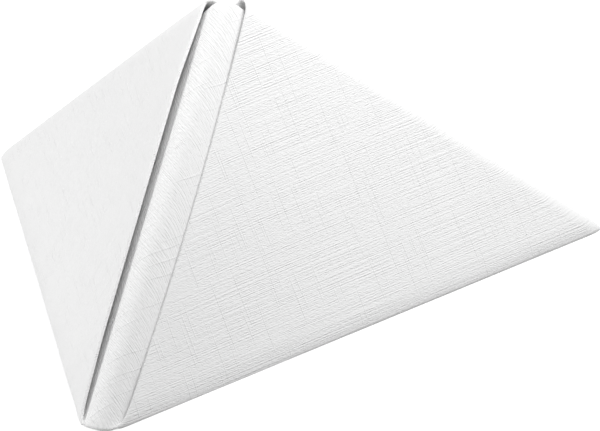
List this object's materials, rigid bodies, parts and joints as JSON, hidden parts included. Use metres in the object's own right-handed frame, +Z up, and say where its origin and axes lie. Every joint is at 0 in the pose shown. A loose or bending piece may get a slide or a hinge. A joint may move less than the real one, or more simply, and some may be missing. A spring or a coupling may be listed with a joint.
{
  "type": "paper napkin",
  "caption": "Square linen-embossed paper napkin in a pyramid fold: a rounded ridge slopes up between flat flaps, and it stands on its lower creases as a table setting.",
  "frame": {"origin": "middle of the footprint, on the table", "axes": "+Z up; the ridge's lower end points to -Y and the open back to +Y; +X to the right seen from the front"},
  "size_m": [0.1892, 0.1782, 0.0849],
  "materials": {
    "napkin_paper": "matte white, linen embossed"
  },
  "bodies": {
    "root": {"napkin": "napkin_paper"}
  },
  "joints": []
}
